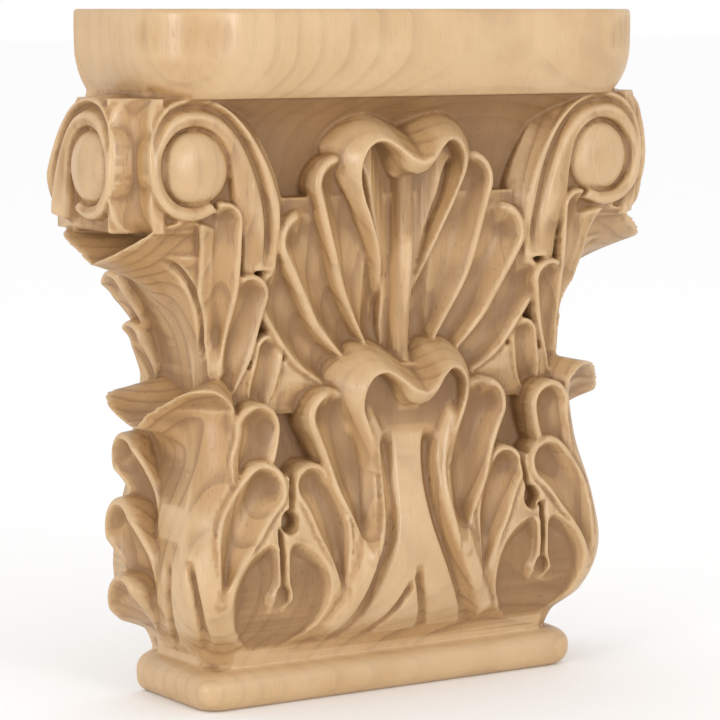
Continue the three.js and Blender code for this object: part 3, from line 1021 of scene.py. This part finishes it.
class Graph:
    """A material's nodes, made through one method."""

    def __init__(self, name: str) -> None:
        """Start an empty material with a principled shader.

        Args:
            name: The material's name.
        """
        self.material = bpy.data.materials.new(name)
        self.material.use_nodes = True
        self.tree = self.material.node_tree
        self.shader = self.tree.nodes["Principled BSDF"]

    def node(self, kind: str, settings: dict[str, object], values: dict[int | str, object],
             output: int | str = 0) -> Socket:
        """Add one node.

        Args:
            kind: Type of node.
            settings: Properties by name.
            values: Inputs by number or name: a Socket is linked, anything else is set.
            output: Which output is wanted.

        Returns:
            The wanted output.
        """
        made = self.tree.nodes.new(kind)
        for name, value in settings.items():
            setattr(made, name, value)
        for key, value in values.items():
            self.feed(made.inputs[key], value)
        return Socket(self, made.outputs[output])

    def feed(self, target: bpy.types.NodeSocket, value: object) -> None:
        """Link or set one input.

        Args:
            target: The input.
            value: A Socket or a plain value.
        """
        if isinstance(value, Socket):
            self.tree.links.new(value.output, target)
        else:
            target.default_value = value

    def mix(self, factor: Socket | float, first: object, second: object, blend: str = "MIX") -> Socket:
        """Mix two colours.

        Args:
            factor: Share of the second.
            first: A colour or Socket.
            second: A colour or Socket.
            blend: How they are mixed.

        Returns:
            The mixed colour.
        """
        return self.node("ShaderNodeMix", {"data_type": "RGBA", "blend_type": blend},
                         {0: factor, 6: first, 7: second}, 2)

    def noise(self, where: Socket, scale: float, detail: float = 2.0, rough: float = 0.5) -> Socket:
        """Smooth noise from 0 to 1.

        Args:
            where: Place in space.
            scale: Size of the noise, per metre.
            detail: Octaves.
            rough: Strength of the finer octaves.

        Returns:
            The noise.
        """
        return self.node("ShaderNodeTexNoise", {},
                         {"Vector": where, "Scale": scale, "Detail": detail, "Roughness": rough})

    def scaled(self, where: Socket, x: float, y: float, z: float) -> Socket:
        """Multiply a place by three factors.

        Args:
            where: Place in space.
            x: Factor across.
            y: Factor in depth.
            z: Factor up.

        Returns:
            The scaled place.
        """
        return self.node("ShaderNodeVectorMath", {"operation": "MULTIPLY"}, {0: where, 1: (x, y, z)})


@dataclass(frozen=True)
class Maple:
    """Pale carved maple, its fibre upright: growth rings, flecks, painted shade in the hollows (partly darker
    finish and end grain), and a painted highlight on the rims (partly burnish).
    """

    light: tuple[float, float, float, float] = (0.455, 0.279, 0.126, 1.0)
    deep: tuple[float, float, float, float] = (0.385, 0.218, 0.087, 1.0)
    ring: tuple[float, float, float, float] = (0.25, 0.132, 0.052, 1.0)
    fleck: tuple[float, float, float, float] = (0.21, 0.118, 0.055, 1.0)
    # Painted shade colour for creases and hollows, partly darker finish and end grain.
    hollow: tuple[float, float, float, float] = (0.20, 0.098, 0.034, 1.0)
    # Painted highlight colour for the proud rims, partly burnished edges; also used for the pale line along
    # the plinth's top.
    edge: tuple[float, float, float, float] = (0.58, 0.40, 0.222, 1.0)
    grey: tuple[float, float, float, float] = (0.39, 0.27, 0.155, 1.0)
    heart: tuple[float, float, float] = (0.035, 0.115, 0.0)
    ring_step: float = 0.0046
    plinth_line: float = 0.0142
    glue: tuple[float, float] = (0.0415, 0.0765)

    def build(self) -> bpy.types.Material:
        """Make the material.

        Returns:
            The material.
        """
        g = Graph("maple")
        place = g.node("ShaderNodeTexCoord", {}, {}, "Object")
        x = g.node("ShaderNodeSeparateXYZ", {}, {0: place}, 0)
        z = g.node("ShaderNodeSeparateXYZ", {}, {0: place}, 2)
        colour = self.boards(g, place, x)
        rings = self.rings(g, place)
        fading = g.noise(g.scaled(place, 1, 1, 0.3), 30.0).span(0.3, 0.65, 0.35, 0.75)
        colour = g.mix(rings * fading, colour, self.ring)
        flecks = self.flecks(g, place)
        colour = g.mix(flecks * 0.5, colour, self.fleck)
        cavity = g.node("ShaderNodeAttribute", {"attribute_name": "cavity"}, {}, 2)
        wide = g.node("ShaderNodeAttribute", {"attribute_name": "hollow"}, {}, 2)
        mottle = g.noise(place, 55.0, 3.0)
        # Painted shade: darker colour in narrow creases (cavity) and wide hollows, partly darker finish and
        # end grain; it also roughens them.
        hollow_shade = cavity.span(0.04, 0.8) * 0.6 + wide.span(0.4, 1.0) * 0.26
        colour = g.mix(hollow_shade * mottle.span(0.25, 0.7, 0.75, 1.0), colour, self.hollow)
        # Painted highlight on the proud rims, partly burnished edges; it also makes them glossier.
        rim = (0.0 - cavity).span(0.12, 0.95)
        colour = g.mix(rim * mottle.span(0.3, 0.7, 0.5, 0.8), colour, self.edge)
        nicks = g.noise(g.scaled(place, 1, 1, 0.6), 420.0, 1.0).span(0.70, 0.76)
        nicks = nicks * cavity.span(0.2, 0.6)
        colour = g.mix(nicks * 0.6, colour, self.fleck)
        # A pale broken line along the plinth's top edge, in the rim highlight colour.
        base = (z - self.plinth_line).absolute().span(0.0003, 0.0013, 1.0, 0.0)
        pale_plinth_line = base * g.noise(g.scaled(place, 1, 1, 0.3), 260.0, 3.0).span(0.35, 0.6)
        colour = g.mix(pale_plinth_line * 0.45, colour, self.edge)
        g.feed(g.shader.inputs["Base Color"], colour)
        sheen = g.noise(g.scaled(place, 1, 1, 0.25), 140.0, 3.0)
        rough = sheen.span(0.3, 0.7, 0.36, 0.50) + hollow_shade * 0.16 - rim * 0.07 + flecks * 0.08
        g.feed(g.shader.inputs["Roughness"], rough)
        self.relief(g, place, rings, flecks, nicks)
        return g.material

    def boards(self, g: Graph, place: Socket, x: Socket) -> Socket:
        """Broad shifts of tone from board to board and along the grain.

        Args:
            g: The graph.
            place: Place in space.
            x: Place across.

        Returns:
            The wood's first colour.
        """
        broad = g.noise(g.scaled(place, 1, 1, 0.22), 26.0, 3.0)
        colour = g.mix(broad.span(0.3, 0.72), self.light, self.deep)
        for number, seam in enumerate(self.glue):
            side = (x - seam).span(-0.0002, 0.0002)
            colour = g.mix(side * (0.14 - 0.05 * number), colour, self.grey)
            line = (x - seam).absolute().span(0.00008, 0.0004, 1.0, 0.0)
            colour = g.mix(line * 0.4, colour, self.fleck)
        end = g.noise(place, 62.0, 3.0).span(0.45, 0.62)
        height = g.node("ShaderNodeSeparateXYZ", {}, {0: place}, 2)
        patch = end * x.span(0.084, 0.094) * height.span(0.196, 0.202)
        return g.mix(patch * 0.5, colour, self.ring)

    def rings(self, g: Graph, place: Socket) -> Socket:
        """Thin darker lines where the growth rings meet the surface.

        Args:
            g: The graph.
            place: Place in space.

        Returns:
            Strength of the line, from 0 to 1.
        """
        middle = g.node("ShaderNodeVectorMath", {"operation": "SUBTRACT"}, {0: place, 1: self.heart})
        flat = g.scaled(middle, 1, 1, 0)
        away = g.node("ShaderNodeVectorMath", {"operation": "LENGTH"}, {0: flat}, "Value")
        sway = g.noise(g.scaled(place, 1, 1, 0.3), 14.0, 2.0) * 0.0085
        fine = g.noise(g.scaled(place, 1, 1, 0.12), 160.0, 2.0) * 0.0010
        turn = ((away + sway + fine) / self.ring_step).fract()
        return turn.span(0.55, 0.93) * turn.span(0.93, 1.0, 1.0, 0.0)

    def flecks(self, g: Graph, place: Socket) -> Socket:
        """Short upright flecks and pores.

        Args:
            g: The graph.
            place: Place in space.

        Returns:
            Strength of the fleck, from 0 to 1.
        """
        short = g.noise(g.scaled(place, 1, 1, 0.16), 1150.0, 1.0).span(0.63, 0.72)
        streak = g.noise(g.scaled(place, 1, 1, 0.035), 620.0, 2.0).span(0.5, 0.75)
        return short * 0.75 + streak * 0.35

    def relief(self, g: Graph, place: Socket, rings: Socket, flecks: Socket, nicks: Socket) -> None:
        """Feed the fine relief of the tool marks and the grain.

        Args:
            g: The graph.
            place: Place in space.
            rings: Strength of the ring lines.
            flecks: Strength of the flecks.
            nicks: Strength of the tool nicks.
        """
        facets = g.noise(g.scaled(place, 1, 1, 0.45), 210.0, 2.0)
        grain = g.noise(g.scaled(place, 1, 1, 0.06), 1400.0, 2.0)
        height = facets * 0.55 + grain * 0.16 - rings * 0.05 - flecks * 0.12 - nicks * 0.5
        bump = g.node("ShaderNodeBump", {}, {"Strength": 0.55, "Distance": 0.0005, "Height": height})
        g.feed(g.shader.inputs["Normal"], bump)


def shade_hollows(piece: bpy.types.Object) -> None:
    """Store how deep in a hollow, or how proud on a rim, each point lies, for the material's painted shade
    and highlight.

    Args:
        piece: The finished piece, in metres.
    """
    mesh = piece.data
    start = read_points(mesh)
    normals = read_normals(mesh)
    pairs = np.empty(len(mesh.edges) * 2, np.int32)
    mesh.edges.foreach_get("vertices", pairs)
    first, second = pairs.reshape(-1, 2).T
    count = np.bincount(np.concatenate([first, second]), minlength=len(start)).clip(1)[:, None]

    def soften(values: np.ndarray, times: int) -> np.ndarray:
        """Average each point's values with its neighbours'.

        Args:
            values: Points by columns.
            times: Rounds.

        Returns:
            The averaged values.
        """
        for _ in range(times):
            total = np.stack([np.bincount(first, values[second, k], len(start))
                              + np.bincount(second, values[first, k], len(start))
                              for k in range(values.shape[1])], axis=1)
            values = 0.35 * values + 0.65 * total / count
        return values

    near = soften(start, NEAR_ROUNDS)
    far = soften(near, FAR_ROUNDS)
    for name, moved, reach in (("cavity", near, NEAR_DEPTH), ("hollow", far, FAR_DEPTH)):
        depth = ((moved - start) * normals).sum(axis=1) / reach
        depth = soften(depth[:, None], 1)[:, 0].clip(-1.0, 1.0)
        layer = mesh.attributes.new(name, "FLOAT", "POINT")
        layer.data.foreach_set("value", depth.astype(np.float32))
        LOG.info("%s from %.2f to %.2f, mean size %.2f", name, depth.min(), depth.max(), np.abs(depth).mean())


@dataclass(frozen=True)
class Lamp:
    """One soft rectangular lamp aimed at the capital."""

    name: str
    place: tuple[float, float, float]
    size: float
    power: float

    def build(self, target: np.ndarray) -> None:
        """Hang the lamp.

        Args:
            target: Where it points, in metres.
        """
        light = bpy.data.lights.new(self.name, "AREA")
        light.size = self.size
        light.energy = self.power
        holder = bpy.data.objects.new(self.name, light)
        bpy.context.scene.collection.objects.link(holder)
        aim(holder, np.array(self.place), target)


@dataclass(frozen=True)
class Studio:
    """Camera, pale floor, even white surroundings and soft lamps."""

    lens: float = 155.0
    film: float = 36.0
    eye: tuple[float, float, float] = (-0.572, -0.881, 0.2286)
    target: tuple[float, float, float] = (0.0, 0.0, 0.110)
    floor_size: float = 40.0
    surround: float = 1.0
    lamps: tuple[Lamp, ...] = (
        Lamp("key", (0.2, -1.75, 0.42), 0.35, 8.5),
        Lamp("left", (-1.7, -0.6, 0.3), 0.4, 9.5),
    )

    def build(self) -> None:
        """Set everything up around the capital's frame."""
        scene = bpy.context.scene
        shift = np.array([0.0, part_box(NODE)[1][1] - BACK * MM, 0.0])
        camera = bpy.data.objects.new("camera", bpy.data.cameras.new("camera"))
        scene.collection.objects.link(camera)
        camera.data.lens = self.lens
        camera.data.sensor_width = self.film
        camera.data.clip_end = 2.0 * self.floor_size
        target = np.array(self.target) + shift
        aim(camera, np.array(self.eye) + shift, target)
        scene.camera = camera
        half = self.floor_size / 2
        corners = np.array([[-half, -half, 0], [half, -half, 0], [half, half, 0], [-half, half, 0]], float)
        floor = make_object("floor", corners, np.array([[0, 1, 2], [0, 2, 3]]))
        pale = Graph("pale_floor")
        pale.shader.inputs["Base Color"].default_value = (0.97, 0.97, 0.97, 1.0)
        pale.shader.inputs["Roughness"].default_value = 0.9
        floor.data.materials.append(pale.material)
        for lamp in self.lamps:
            lamp.build(target)
        world = bpy.data.worlds.new("room")
        world.use_nodes = True
        background = world.node_tree.nodes["Background"]
        background.inputs[0].default_value = (1.0, 1.0, 1.0, 1.0)
        background.inputs[1].default_value = self.surround
        scene.world = world
        scene.view_settings.view_transform = "Standard"


def aim(thing: bpy.types.Object, place: np.ndarray, target: np.ndarray) -> None:
    """Put an object at a place and turn its -Z towards the target.

    Args:
        thing: The camera or lamp.
        place: Where it stands, in metres.
        target: Where it looks, in metres.
    """
    thing.location = Vector(place)
    thing.rotation_euler = (Vector(target) - Vector(place)).to_track_quat("-Z", "Y").to_euler()


def main() -> None:
    """Build the capital and its studio."""
    logging.basicConfig(level=logging.INFO, format="%(message)s")
    Studio().build()
    capital = Capital()
    capital.gather()
    piece = capital.fuse()
    fit_to_solid(piece)
    shade_hollows(piece)
    piece.data.materials.clear()
    piece.data.materials.append(Maple().build())
    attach(piece, "root")
    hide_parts(NODE)


if __name__ == "__main__":
    main()
